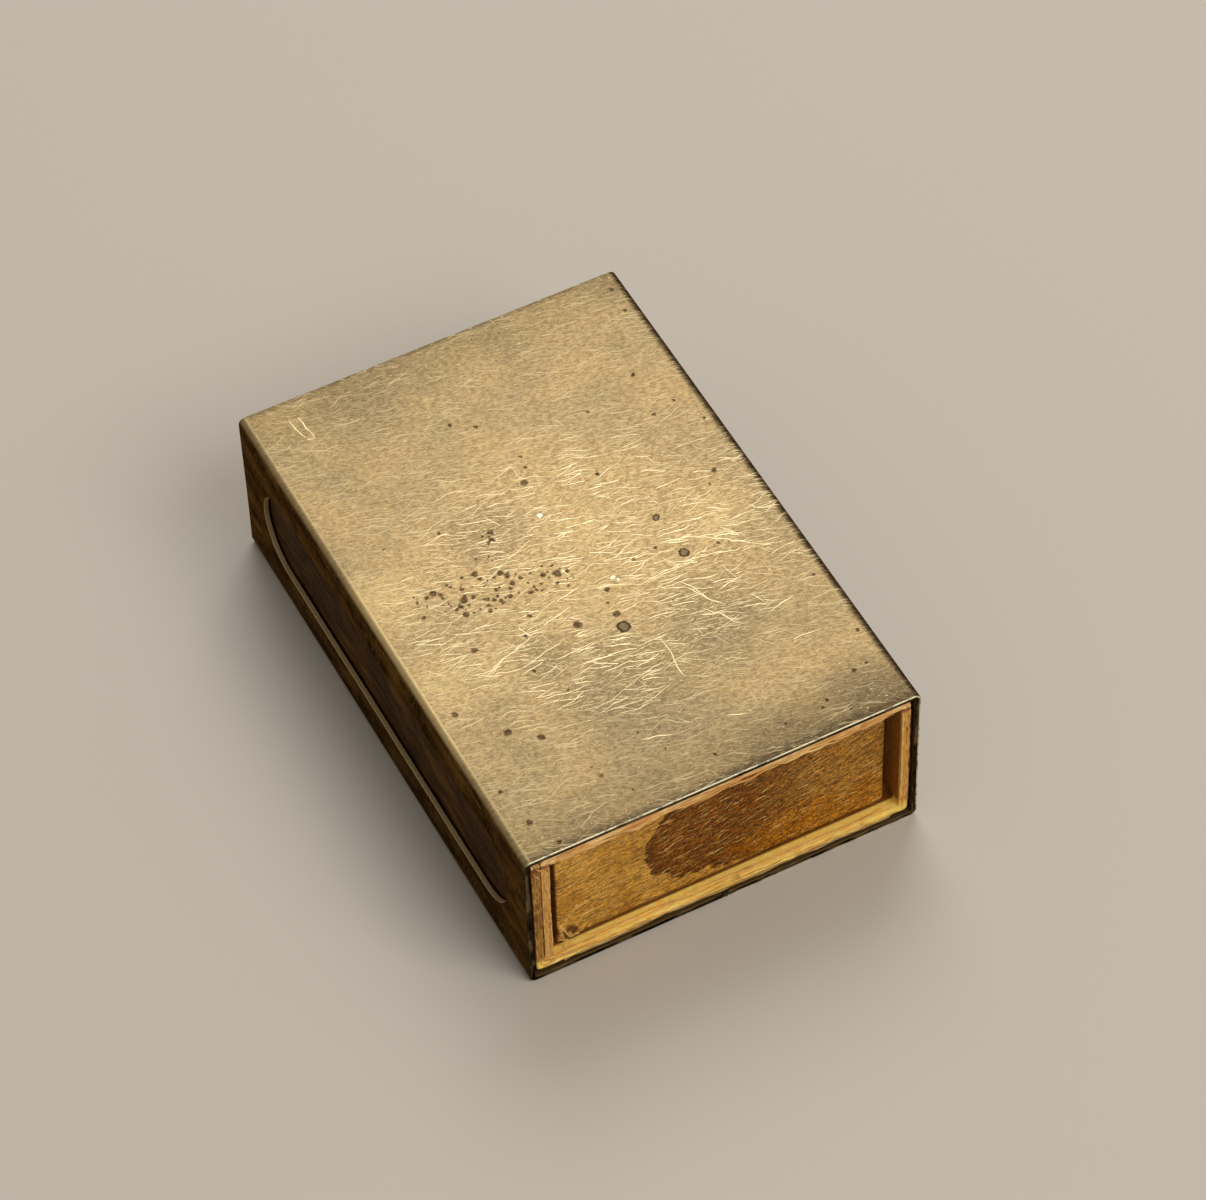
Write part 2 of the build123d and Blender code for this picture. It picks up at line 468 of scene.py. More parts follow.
def make_cover():
    """The sleeve as a flat blank of quads, which is then given its thickness and folded. Each
    vertex keeps whether it is on a cut, and its place on the blank in millimetres: sideways
    from the middle of the top, along the holder, and through the sheet from outside."""
    inset = sheet / 2
    side = cover_side - inset
    top = cover_height - inset
    marks, fold = bent_line([(seam_gap / 2, inset), (side, inset), (side, top), (-side, top),
                             (-side, inset), (-seam_gap / 2, inset)], bend_radius - inset)
    end = cover_length / 2
    ys = [-end] + spread(edge_band - end, end - edge_band, grid_step) + [end]
    flat = bmesh.new()

    def add_quads(rows, close=False):
        verts = [[flat.verts.new((p[0], p[1], 0)) for p in row] for row in rows]
        for lower, upper in zip(verts, verts[1:]):
            pairs = list(zip(lower, upper))
            if close:
                pairs.append(pairs[0])
            for (a, b), (c, d) in zip(pairs, pairs[1:]):
                flat.faces.new((a, b, d, c))

    for panel, (start, end) in enumerate(zip(marks, marks[1:])):
        if panel in side_panels:
            add_quads(window_ring(start, end, ys), close=True)
            continue
        is_bend = panel % 2 == 1
        step = (end - start) / steps_in_bend if is_bend else grid_step
        add_quads([[(u, y) for y in ys] for u in spread(start, end, step)])
    bmesh.ops.remove_doubles(flat, verts=flat.verts, dist=touching)
    bmesh.ops.recalc_face_normals(flat, faces=flat.faces)

    def folded(u, y, depth):
        x, z = fold(u, depth - inset)
        # Years of handling have pressed the broad faces in by a few hundredths.
        inward = pressed_in * rough(press_size, x, y, z)
        middle = Vector((x / cover_side, (z - cover_height / 2) / (cover_height / 2)))
        if abs(middle.x) > abs(middle.y):
            x -= math.copysign(inward * (1 - middle.y ** 2), x)
        else:
            z -= math.copysign(inward * (1 - middle.x ** 2), middle.y)
        return x, y, z

    verts, cut, blank = [], [], []
    number = {}
    middle_of_top = (marks[4] + marks[5]) / 2
    for vert in flat.verts:
        number[vert] = len(verts)
        for depth in (0, sheet):
            verts.append(folded(vert.co.x, vert.co.y, depth))
            cut.append(1.0 if vert.is_boundary else 0.0)
            blank += [(middle_of_top - vert.co.x) / mm, vert.co.y / mm, depth / mm]
    faces = []
    for face in flat.faces:
        ring = [number[vert] for vert in face.verts]
        faces.append(ring)
        faces.append([i + 1 for i in reversed(ring)])
    for edge in flat.edges:
        if edge.is_boundary:
            a, b = (number[vert] for vert in edge.verts)
            faces.append((a, b, b + 1, a + 1))
    flat.free()
    return closed_mesh("brass_sleeve", verts, faces, cut=cut, blank=blank)


brass_sleeve = new_piece("brass_sleeve", make_cover(), "cover")
wear_edges(brass_sleeve, edge_wear)
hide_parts("cover_shell")

# Wear on the top, in millimetres from its middle. Spots are given as x, y and radius: dark pits,
# patches where small pits crowd, pits with a ring of corrosion, white specks, and tones of the
# metal. The longer scratches are given from end to end.
pits = [
    (15.1, 2.4, 0.35), (0.3, -7.7, 0.42), (-3.1, -7.2, 0.5), (0.9, -5, 0.33), (0.2, -6.3, 0.2),
    (0.1, 9, 0.42), (-5, 5.4, 0.33),
    (-5.3, 4.7, 0.3), (-8.3, 1.9, 0.42), (-10.4, -0.2, 0.5), (-10.9, -0.7, 0.33), (-12.3, 1.7, 0.38),
    (-13, 1.5, 0.28), (-14.2, -0.3, 0.25), (-10.9, -1.7, 0.38), (-12, -5.5, 0.38), (-6.3, 1, 0.38),
    (-5.9, 0.5, 0.38), (-3.2, -0.9, 0.38), (-2.1, -1.3, 0.48), (-9.5, -0.3, 0.3), (-8.5, -1.1, 0.22),
    (-8.1, -1.4, 0.28), (-5.9, -0.5, 0.33), (-5, -2.1, 0.33), (-6.7, -1.7, 0.28), (4.4, -3.1, 0.25),
    (6.6, -2.9, 0.22), (-7.5, 3.3, 0.2), (-6.3, 3.1, 0.15), (-6.3, 2.5, 0.15), (-1.2, -1.5, 0.28),
    (-9.4, 2.1, 0.25), (17.2, 25.4, 0.3), (17.1, 22.6, 0.25), (17.3, -19, 0.25), (17, -11.9, 0.2),
    (14.9, -22.6, 0.3), (16.2, -22.4, 0.2), (11.4, -24.3, 0.25), (10.7, -24.8, 0.18),
    (-16.5, -10.9, 0.4), (-13.5, -14.6, 0.45), (-11.3, -16.4, 0.42), (-16.2, -23.8, 0.35),
]
pitted_patches = [(-10.8, 0.4, 2.2), (-7.6, -0.9, 2.4), (-4.2, -1.2, 2.4), (-2, -1.4, 1.4),
                  (-13.4, 1.3, 1.4), (-5.4, 5, 1.4)]
ringed_pits = [(8.5, -4.5, 0.5), (8.2, 0.1, 0.36), (0.2, -9.2, 0.62)]
white_specks = [(-0.4, 5.1, 0.26), (1.9, -4, 0.24), (2.2, -4.4, 0.16)]
polished_spots = [(2.2, 2.2, 2.4), (-16.5, -8, 4.5), (-16.5, 3, 4.5), (-12, -7.5, 3.4),
                  (13, -2, 3.4)]
stained_spots = [(-5.5, 5.5, 5), (-2, -16, 8.5), (7, -12, 6.5), (-9, 23, 6),
                 (14.5, -24, 3.6), (-7, -9, 3.6)]
long_scratches = [
    (-13.8, 25.4, -13.6, 22.2), (-14.6, 25.4, -14.4, 22.6), (-14.4, 22.5, -13.7, 22.3),
    (-7.1, 7.6, -3.9, 6.6), (-2, -0.8, 0.4, -1.2), (-8.7, 0.7, -5.5, 1.8), (-12.4, -8.3, -5.9, -6.1),
    (-5.9, -6.1, -2.7, -5.2), (-0.3, -4, 4, -5.9), (4, -5.9, 9.1, -5.5), (6.7, -7.1, 8.4, -10.8),
    (3.6, -5.7, 8.3, -5.3), (6.6, -7.8, 8.8, -11.2), (7, -10.5, 9, -13.5), (2.4, -9.3, 4.7, -9.8),
    (11.7, -13.7, 14.6, -13.1), (11.9, -17.3, 14.6, -17.3), (-4.1, -20.4, -1.4, -21.2),
    (2.4, -11.5, 2.2, -16.6), (3.1, -21.8, 5.2, -22.4), (-14.1, 4.5, -12.7, 4.2), (-9.4, -9.2, -5, -8.2),
    (10, -3.2, 15.4, -7.4), (8.6, -2.6, 13.6, -4.9),
]

# Layers of short scratches, each with its direction, length, pitch and the share that is there.
scratch_layers = (
    (-16, 4.2, 0.5, 0.6), (-8, 5, 0.6, 0.5), (-25, 4, 0.6, 0.5), (2, 4.4, 0.8, 0.45),
    (18, 6, 1.2, 0.5), (-58, 3, 1.8, 0.3))
fine_layers = ((-14, 1.1, 0.3, 0.5), (14, 0.9, 0.36, 0.45), (-40, 0.8, 0.36, 0.4))
worm_layers = ((-20, 1, 0.32, 0.5), (30, 0.8, 0.4, 0.4))
rubbed_way = (0, 0, -16)


def aged_brass():
    """Brass that handling keeps pale on the broad faces, with a painted highlight in the middle of the top
    and painted shade at its borders, brown tarnish on the sides, darker there as painted shade, bright
    scratches that cut through it with painted shade beside them, and dark pits. Painted highlights lie
    along the left bend, the window rims and the end rims' edges, and painted shade on the end rims.
    Places are those of the blank."""
    brass = Finish("aged brass", Metallic=1.0, Specular_Tint=(150, 130, 100))
    blank = brass.read("blank")
    wavy = brass.flattened(brass.wander(blank, 2.6, 0.55))
    rough_edged = brass.flattened(brass.wander(blank, 0.4, 0.2))
    sideways, along, through = brass.split(blank)
    across = brass.size(sideways)
    to_end = brass.size(along)
    outside = brass.ramp(through, 0.3, 0.2)

    # The top's metal, paler in the middle where hands rub it and as a painted highlight, and darker at its
    # borders as painted shade
    cloud = brass.noise(blank, 8.0, detail=1)
    blotch = brass.noise(blank, 1.4)
    mottle = brass.noise(brass.turned(blank, rubbed_way, (1.9, 1, 1)), 0.24, roughness=0.75)
    metal = brass.tinted((149, 128, 92), (163, 138, 96), cloud, 0.35, 0.62)
    metal = brass.tinted(metal, (172, 146, 104), blotch, 0.42, 0.7, 0.4)
    # Painted highlight, partly wear: the middle of the top is paler.
    rubbed_and_highlight = brass.ramp(brass.oval(blank, (0, 1), (20, 20)), 1.05, 0.1, 0.0, 0.75)
    metal = brass.mix(rubbed_and_highlight, metal, (184, 156, 108))
    polish = brass.ramp(brass.spots(wavy, polished_spots), 1.3, 0.0)
    metal = brass.over(metal, (212, 184, 124), polish, 0.3)
    stain = brass.ramp(brass.spots(wavy, stained_spots), 1.1, 0.3)
    metal = brass.over(metal, (120, 104, 80), stain, 0.44)
    # Painted shade: darker bands at the near and far ends and along the right edge of the top.
    near = brass.ramp(along, -20.0, -27.2, 0.0, brass.ramp(sideways, -8.0, 12.0, 0.42, 0.72))
    near = brass.plus(near, brass.ramp(along, -26.4, -27.35, 0.0, 0.5))
    far = brass.plus(brass.ramp(along, 20.0, 27.0, 0.0, 0.3), brass.ramp(along, 26.7, 27.4, 0.0, 0.4))
    right = brass.ramp(sideways, 17.6, 18.0, 0.0, 0.95)
    metal = brass.mix(brass.most(near, far, right), metal, (90, 75, 52))
    metal = brass.scaled(metal, mottle, 0.38, 0.62, 0.66, 1.24)
    metal = brass.scaled(metal, brass.noise(blank, 0.6), 0.3, 0.7, 0.86, 1.1)
    speck = brass.ramp(brass.noise(blank, 0.34, roughness=0.6), 0.66, 0.73, 0.0, 0.55)
    metal = brass.mix(speck, metal, (98, 80, 52))
    fleck = brass.noise(brass.turned(blank, rubbed_way, (2, 1, 1)), 0.19, detail=1)
    metal = brass.tinted(metal, (222, 190, 130), fleck, 0.68, 0.75, 0.6)

    # Scratches, which crowd in the middle of the top
    dense = brass.ramp(brass.oval(blank, (1, -3), (21, 17)), 1.15, 0.5, 0.3)
    patchy = brass.ramp(brass.noise(blank, 3.2, detail=1), 0.36, 0.54, 0.3)
    least = brass.scratches(wavy, scratch_layers, 0.045)
    fine = brass.scratches(wavy, fine_layers, 0.05)
    worm = brass.scratches(wavy, worm_layers, 0.06)
    busy = brass.ramp(dense, 0.3, 1.0, 0.35)
    metal = brass.over(metal, (104, 84, 54), brass.ramp(worm, 1.0, 0.3, 0.0, 0.42), busy)
    metal = brass.over(metal, (226, 200, 148), brass.ramp(fine, 1.0, 0.3, 0.0, 0.46), busy)
    shown = brass.times(dense, patchy, outside)
    scratch_shade = brass.times(brass.ramp(least, 3.4, 1.2), shown)
    scratch = brass.times(brass.ramp(least, 1.1, 0.4), shown)
    long_lines = brass.ramp(brass.strokes(wavy, long_scratches, 0.05), 1.0, 0.5)
    scratch = brass.most(scratch, brass.times(long_lines, outside))

    # Tarnish on the sides and underneath; on the sides it is darker than tarnish alone, as painted shade
    side = brass.ramp(across, 18.05, 18.5)
    under = brass.ramp(across, 33.3, 34.6)
    grime = brass.noise(brass.turned(blank, stretch=(1.0, 3.4, 1.0)), 1.7, detail=5, roughness=0.6)
    tarnish_and_shade = brass.tinted((62, 47, 27), (128, 98, 56), grime, 0.3, 0.78)
    drawn = brass.noise(brass.turned(blank, stretch=(1, 6, 1)), 0.3, detail=3, roughness=0.7)
    tarnish_and_shade = brass.tinted(tarnish_and_shade, (30, 23, 14), drawn, 0.44, 0.34, 0.7)
    tarnish_and_shade = brass.tinted(tarnish_and_shade, (178, 142, 88), drawn, 0.6, 0.7, 0.6)
    # Painted shade, partly tarnish: the sides are dark brown.
    metal = brass.mix(side, metal, tarnish_and_shade)
    metal = brass.mix(under, metal, brass.tinted((126, 103, 65), (164, 136, 88), grime, 0.25, 0.8))
    # Painted shade: a wide dark halo beside each scratch, for the shade of its groove.
    metal = brass.over(metal, (96, 78, 50), scratch_shade, 0.3)
    bright = brass.times(scratch, brass.ramp(side, 0.0, 1.0, 0.85, 0.25))
    metal = brass.mix(bright, metal, (240, 220, 172))

    # Pits and specks
    pitted = brass.ramp(brass.spots(wavy, pitted_patches), 1.2, 0.5, 0.012, 0.75)
    small_pits = brass.grains(rough_edged, 0.62, pitted)
    pit = brass.ramp(brass.least(brass.spots(rough_edged, pits), small_pits), 1.0, 0.5)
    pit = brass.times(pit, outside)
    metal = brass.over(metal, (78, 52, 32), pit, brass.ramp(mottle, 0.35, 0.65, 0.9, 0.5))
    ringed = brass.spots(rough_edged, ringed_pits)
    metal = brass.over(metal, (66, 50, 30), brass.ramp(ringed, 1.1, 0.85), outside)
    metal = brass.over(metal, (112, 98, 72), brass.ramp(ringed, 0.75, 0.5), outside)
    white = brass.ramp(brass.spots(rough_edged, white_specks), 1.1, 0.6)
    metal = brass.over(metal, (226, 222, 202), white, outside)
    metal = brass.mix(outside, (110, 88, 54), metal)

    # The left bend, worn bright where it is gripped and painted brighter as a highlight, and the cut rims
    corner = brass.ramp(across, 17.8, 18.0)
    corner = brass.times(corner, brass.ramp(across, 18.45, 18.2))
    grip_wear_and_highlight = brass.ramp(brass.size(brass.plus(along, 5.0)), 13.0, 8.0, 0.4, 0.85)
    # Painted highlight, partly wear: the left bend is pale along its middle.
    metal = brass.over(metal, (216, 188, 134), corner, grip_wear_and_highlight, brass.ramp(sideways, 0.0, -1.0))
    cut = brass.read("cut", "Fac")
    at_end = brass.ramp(to_end, 26.8, 27.1)
    end_rim = brass.tinted((32, 25, 16), (64, 52, 34), blotch, 0.35, 0.65)
    rim_grain = brass.noise(brass.turned(blank, stretch=(5, 1, 1)), 0.5)
    end_rim = brass.tinted(end_rim, (150, 130, 96), rim_grain, 0.5, 0.62, 0.5)
    # Painted light on the cut rims: the window rims are bright as a painted highlight, partly polish, and
    # the end rims dark with tarnish and painted shade.
    rim = brass.mix(at_end, (214, 188, 140), end_rim)
    metal = brass.tinted(metal, rim, cut, 0.9, 1.0)
    # Painted highlight, partly wear: a pale line in patches along the outer edges of the end rims.
    rim_edge_highlight = brass.times(brass.ramp(to_end, 27.42, 27.48), brass.ramp(through, 0.2, 0.1))
    rim_wear_and_glint = brass.ramp(sideways, -18.0, -18.3, 1.0, 0.05)
    rim_wear_and_glint = brass.times(rim_wear_and_glint, brass.ramp(brass.noise(blank, 0.9, detail=3), 0.35, 0.5, 0.35))
    metal = brass.over(metal, (238, 226, 192), rim_edge_highlight, rim_wear_and_glint)

    roughness = brass.ramp(mottle, 0.3, 0.7, 0.43, 0.54)
    roughness = brass.plus(roughness, brass.times(brass.most(pit, side), 0.15))
    hairlines = brass.noise(brass.turned(blank, rubbed_way, (6, 0.8, 1)), 0.3)
    brass.bump(brass.plus(mottle, hairlines), 0.008 * mm)
    return brass.paint(Base_Color=metal, Roughness=roughness)


brass_sleeve.data.materials.append(aged_brass())


# The solder
# A thin run of soft solder closes the seam underneath, between the two edges of
# the sheet. It is filed flush, dull grey and a little lumpy.
solder_low, solder_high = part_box("seam_solder")


def solder_place(y, x, z):
    if z < solder_high.z - 0.1 * mm:
        z += 0.07 * mm * rough(1.1 * mm, x * 3, y, z)
    return x, y, z


solder = new_piece("solder", solid_grid("solder", (
    spread(solder_low.y, solder_high.y, 0.5 * mm), spread(solder_low.x, solder_high.x, 0.1 * mm),
    spread(solder_low.z, solder_high.z, 0.2 * mm)), solder_place), "cover")
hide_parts("seam_solder")
grey = Finish("solder", Metallic=1.0)
lumps = grey.noise(grey.place, 0.6, detail=3)
grey.bump(lumps, 0.02 * mm)
solder.data.materials.append(grey.paint(
    Base_Color=grey.tinted((62, 54, 38), (104, 92, 68), lumps, 0.3, 0.7),
    Roughness=grey.ramp(lumps, 0.3, 0.7, 0.6, 0.4)))


# The box
# The matchbox's outer case is one strip of scored wood veneer, wound round and glued
# where its ends lap at the left. Its cut ends have torn into fibres.
veneer = 0.8 * mm
veneer_fold = 0.55 * mm
fold_outside = 0.5 * mm
lap_gap = 0.05 * mm
lap_end_gap = 0.5 * mm
tear = 0.42 * mm
tear_reach = 1.3 * mm
ridge_height = 0.05 * mm

case_low, case_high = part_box("slipcase_veneer")


def case_line():
    inner_left = case_low.x + 1.5 * veneer + lap_gap
    outer_left = case_low.x + veneer / 2
    right = case_high.x - veneer / 2
    low = case_low.z + veneer / 2
    high = case_high.z - veneer / 2
    return bent_line([(inner_left, low + veneer / 2 + lap_end_gap), (inner_left, high), (right, high),
                      (right, low), (outer_left, low), (outer_left, case_high.z - lap_end_gap)],
                     veneer_fold, veneer / 2, fold_outside)


case_marks, case_fold = case_line()


def torn_end(y, low, high, along, depth):
    """Moves a place near either end inwards, along fibres that have torn at different lengths."""
    for end, inward in ((low, 1), (high, -1)):
        gap = abs(y - end)
        if gap < tear_reach:
            long_fibres = rough(5 * mm, along, depth * 26, end * 40)
            short_fibres = rough(0.7 * mm, along, depth * 4, end * 9)
            amount = max(0.0, 0.75 * long_fibres + 0.55 * short_fibres - 0.3)
            y += inward * tear * amount * (1 - gap / tear_reach) ** 2
    return y


def case_place(along, depth, y):
    x, z = case_fold(along, depth)
    if depth < -veneer / 4:
        # The grain stands up in low ridges on the inside, where the tray doesn't rub.
        ridge = ridge_height * rough(0.35 * mm, along / 14, y, depth)
        x, z = case_fold(along, depth + ridge)
    return x, torn_end(y, case_low.y, case_high.y, along, depth), z


box_case = new_piece("box_case", solid_grid("box_case", (
    fine_at_bends(case_marks, 0.11 * mm, 0.3 * mm), spread(-veneer / 2, veneer / 2, veneer / 5),
    fine_at_ends(case_low.y, case_high.y, 0.14 * mm, 1.6 * mm, 1.5 * mm)), case_place),
    "slipcase")
wear_edges(box_case, 0.03 * mm, 1)
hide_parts("slipcase_veneer")

# Slivers at the near end, along the top wall, the bottom wall and the left corners, as x and x,
# z and z, and width, all in millimetres. Those that lie on the bottom wall have y and y instead.
front = -27.2
front_lift = 0.08
front_slivers = (
    (-17, -9.5, 15.25, 15.05, 0.24), (-16.6, -12.2, 14.9, 15.2, 0.3), (-11.8, -3, 15.15, 14.95, 0.24),
    (-8.4, -4.9, 15.45, 15.3, 0.16), (-4.6, 3.8, 15.05, 15.3, 0.26), (1.2, 6.8, 15.4, 15.1, 0.18),
    (4.6, 12.9, 15.1, 15.35, 0.24), (9.8, 15.2, 14.95, 15.1, 0.2), (12, 17, 15.35, 15.2, 0.2),
    (-15.6, -9, 14.85, 14.8, 0.34), (-10.2, -4.6, 14.78, 14.9, 0.3), (-5.6, 1.2, 14.88, 14.76, 0.32),
    (0.2, 6, 14.8, 14.92, 0.3), (5.2, 11.6, 14.9, 14.8, 0.3), (10.4, 16.2, 14.84, 14.95, 0.26),
    (-16.4, -8.6, 1.5, 1.2, 0.22), (-9.4, 1.6, 1.15, 1.4, 0.24), (0.4, 7, 1.5, 1.35, 0.18),
    (5, 12.5, 1.2, 1.5, 0.22), (10.6, 16.4, 1.45, 1.2, 0.2), (-17.2, -14.6, 1.1, 2, 0.26),
    (-17.4, -15.2, 1.9, 1.4, 0.16), (-17.6, -16.7, 15.2, 14.3, 0.34), (-17.7, -17, 14.4, 13.2, 0.36),
    (-16.6, -16.2, 15, 13.6, 0.22))
on_bottom = 1.62
bottom_lift = 0.05
bottom_slivers = (
    (-16.8, -8, -26.9, -26.7, 0.18), (-12.6, -2.2, -26.5, -26.8, 0.16), (-9.4, 1.8, -27, -26.9, 0.2),
    (-3.6, 6.4, -26.6, -26.75, 0.18), (0.6, 11, -26.95, -26.8, 0.18), (5.2, 15.6, -26.7, -26.9, 0.2),
    (9, 16.8, -27, -26.6, 0.16), (-16.4, -11, -26.65, -27, 0.14))
sliver_steps = 10
sliver_sides = 5
sliver_seed = 3.0
sliver_room = 0.04 * mm


def make_fibres(name, runs):
    """Loose fibres as thin tapered slivers, which leave the tray its way and end inside the
    sleeve. Each run is the sliver's two ends, its width, and how far its middle lifts towards
    the viewer, in millimetres."""
    way_low, way_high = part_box("tray_paper")
    way_left, way_right = way_low.x - sliver_room, way_high.x + sliver_room
    floor_level, roof_level = way_low.z - sliver_room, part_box("tray_rim")[1].z + sliver_room
    verts, faces, grain = [], [], []
    for number, (start, end, width, lift) in enumerate(runs):
        start, end = (Vector([value * mm for value in spot]) for spot in (start, end))
        width, lift = width * mm, lift * mm
        base = len(verts)
        for step in range(sliver_steps + 1):
            share = step / sliver_steps
            wobble = Vector((0, noise.noise(Vector((share * 4, number, sliver_seed))),
                             noise.noise(Vector((share * 4, number, sliver_seed + 5)))))
            middle = start.lerp(end, share) + wobble * width * 0.9
            middle.y -= lift * math.sin(math.pi * share)
            thick = width / 2 * (0.15 + 0.85 * math.sin(math.pi * min(1.0, share * 1.15)) ** 0.6)
            for turn in range(sliver_sides):
                angle = 2 * math.pi * turn / sliver_sides + number
                spot = middle + Vector((0, math.cos(angle) * 0.6, math.sin(angle))) * thick
                spot.y = max(spot.y, cad_low.y + sliver_room)
                if way_left < spot.x < way_right and floor_level < spot.z < roof_level:
                    spot.z = floor_level if spot.z < (floor_level + roof_level) / 2 else roof_level
                verts.append(tuple(spot))
                grain += [(number * 3 + share * (end - start).length / mm), thick / mm * turn, number]
        for step in range(sliver_steps):
            for turn in range(sliver_sides):
                a = base + step * sliver_sides + turn
                b = base + step * sliver_sides + (turn + 1) % sliver_sides
                faces.append((a, b, b + sliver_sides, a + sliver_sides))
        faces.append([base + turn for turn in reversed(range(sliver_sides))])
        faces.append([base + sliver_steps * sliver_sides + turn for turn in range(sliver_sides)])
    return closed_mesh(name, verts, faces, grain=grain)


sliver_runs = [((x0, front, z0), (x1, front, z1), width, front_lift)
               for x0, x1, z0, z1, width in front_slivers]
sliver_runs += [((x0, y0, on_bottom), (x1, y1, on_bottom), width, bottom_lift)
                for x0, x1, y0, y1, width in bottom_slivers]
slivers = new_piece("box_case_slivers", make_fibres("box_case_slivers", sliver_runs),
                    "slipcase")


def wood_veneer(name, pale, deep, crack, place="grain"):
    """Sliced wood with its grain along the first direction of the attribute called place, or else
    along the holder. The colours are those of the wood, of its darker fibres and of the cracks."""
    wood = Finish(name, Specular_IOR_Level=0.15)
    grain = wood.read(place) if place else wood.turned(wood.place, (0, 0, 90))
    fibre = wood.noise(wood.turned(grain, stretch=(9, 0.7, 0.7)), 0.5, detail=4, roughness=0.65)
    hair = wood.noise(wood.turned(grain, stretch=(5, 0.5, 0.5)), 0.16, roughness=0.6)
    patch = wood.noise(grain, 2.2)
    face = wood.tinted(deep, pale, fibre, 0.35, 0.66)
    face = wood.tinted(face, deep, patch, 0.4, 0.75, 0.35)
    face = wood.tinted(face, crack, hair, 0.38, 0.28, 0.7)
    wood.bump(wood.plus(wood.times(fibre, 0.7), wood.times(hair, 0.5)), 0.06 * mm)
    return wood, face, hair


def plain_wood(name, pale, deep, crack, roughness, place="grain"):
    wood, face, _ = wood_veneer(name, pale, deep, crack, place)
    return wood.paint(Base_Color=face, Roughness=roughness)


def case_veneer():
    """Amber veneer. At the mouth it is bright yellow below, a painted highlight, cream above and gold
    beside, with painted shade under the top strip, at the back of the floor and inside the right wall.
    """
    wood, face, hair = wood_veneer("case veneer", (206, 150, 78), (164, 108, 46), (88, 52, 20))
    x, y, z = wood.split(wood.place)
    round_wall = wood.split(wood.read("grain"))[0]
    mouth = wood.ramp(y, -24.5, -25.8)
    light_fibre = wood.ramp(hair, 0.35, 0.62)
    lump = wood.noise(wood.turned(wood.place, stretch=(3, 1, 1)), 0.9)

    # Painted highlight: the floor's strip at the mouth is bright yellow. Painted shade darkens it towards
    # the tray, and it is darker at its lowest edge.
    bottom = wood.mix(light_fibre, (255, 188, 58), (255, 230, 128))
    bottom = wood.tinted(bottom, (130, 72, 18), y, -26.2, -26.0)
    bottom = wood.tinted(bottom, (110, 64, 20), z, 1.05, 0.85, 0.8)
    top = wood.mix(light_fibre, (230, 166, 86), (255, 224, 156))
    top = wood.tinted(top, (220, 136, 66), lump, 0.52, 0.64, 0.6)
    # Painted shade: the top strip darkens towards its lower edge, over the crevice below it.
    top = wood.tinted(top, (120, 56, 20), z, 15.02, 14.9, 0.9)
    left = wood.mix(light_fibre, (122, 82, 34), (204, 150, 72))
    left = wood.tinted(left, (126, 74, 28), lump, 0.52, 0.62, 0.6)
    lap = wood.mix(light_fibre, (196, 138, 62), (240, 190, 106))
    right = wood.mix(light_fibre, (176, 118, 46), (238, 180, 90))
    right = wood.tinted(right, (244, 200, 116), x, 17.25, 17.1, 0.7)
    # Painted shade: the right wall's inner face darkens deeper inside the mouth.
    right_inside = wood.ramp(y, -27.05, -26.8)
    right = wood.mix(right_inside, right, wood.mix(light_fibre, (104, 60, 20), (172, 110, 42)))

    beside = wood.tinted(wood.tinted(left, right, x, -1, 1), lap, round_wall, 13.3, 12.6)
    far_side = wood.ramp(wood.size(x), 15.5, 16.2, 0.0, 0.9)
    face = wood.over(face, beside, mouth, far_side)
    face = wood.over(face, top, mouth, wood.ramp(z, 14.3, 14.8), 0.95)
    face = wood.over(face, bottom, mouth, wood.ramp(z, 2.3, 1.7), 0.95)
    dirt = wood.noise(wood.place, 0.9, detail=3)
    face = wood.tinted(face, (110, 70, 28), dirt, 0.6, 0.75, 0.5)
    return wood.paint(Base_Color=face, Roughness=wood.ramp(hair, 0.3, 0.7, 0.62, 0.45))


box_case.data.materials.append(case_veneer())
slivers.data.materials.append(
    plain_wood("torn slivers", (248, 204, 128), (214, 148, 74), (140, 84, 36), 0.55))


# The strikers
# A coat of gritty red phosphorus on each narrow side of the box, for striking the
# matches. It is very dark brown and scored along by old strikes.
striker_tear = 0.25 * mm
striker_step = 0.5 * mm


def flat_piece(name, node, body, step, thin_axis, ragged):
    """A thin coat or sheet in the place of a flat node, with slightly uneven borders."""
    low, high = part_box(node)
    grids = [spread(low[axis], high[axis], high[axis] - low[axis] if axis == thin_axis else step)
             for axis in range(3)]
    wide_axes = [axis for axis in range(3) if axis != thin_axis]

    def place(*spot):
        point = list(spot)
        for axis, other in (wide_axes, wide_axes[::-1]):
            inward = ragged * rough(1.3 * mm, spot[other], low[thin_axis] * 7 + axis * mm, 0.0)
            middle = (low[axis] + high[axis]) / 2
            share = (middle - point[axis]) / (middle - low[axis])
            point[axis] += inward * share ** 9
        return point

    piece = new_piece(name, solid_grid(name, grids, place), body)
    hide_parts(node)
    return piece


def striking_coat():
    coat = Finish("striking coat", Specular_IOR_Level=0.05)
    scored = coat.noise(coat.turned(coat.place, stretch=(1, 14, 1)), 0.22, detail=3, roughness=0.6)
    grit = coat.noise(coat.place, 0.12, roughness=0.7)
    worn = coat.noise(coat.turned(coat.place, stretch=(1, 3, 1)), 2.4)
    face = coat.tinted((40, 22, 8), (86, 56, 24), scored, 0.35, 0.7)
    face = coat.tinted(face, (112, 76, 32), worn, 0.5, 0.72, 0.65)
    face = coat.tinted(face, (150, 118, 66), grit, 0.6, 0.72, 0.5)
    coat.bump(coat.plus(scored, coat.times(grit, 0.6)), 0.03 * mm)
    return coat.paint(Base_Color=face, Roughness=0.7)


coat_finish = striking_coat()
for side in ("left", "right"):
    striker = flat_piece("striking_coat_" + side, "striker_" + side, "slipcase",
                         striker_step, 0, striker_tear)
    striker.data.materials.append(coat_finish)


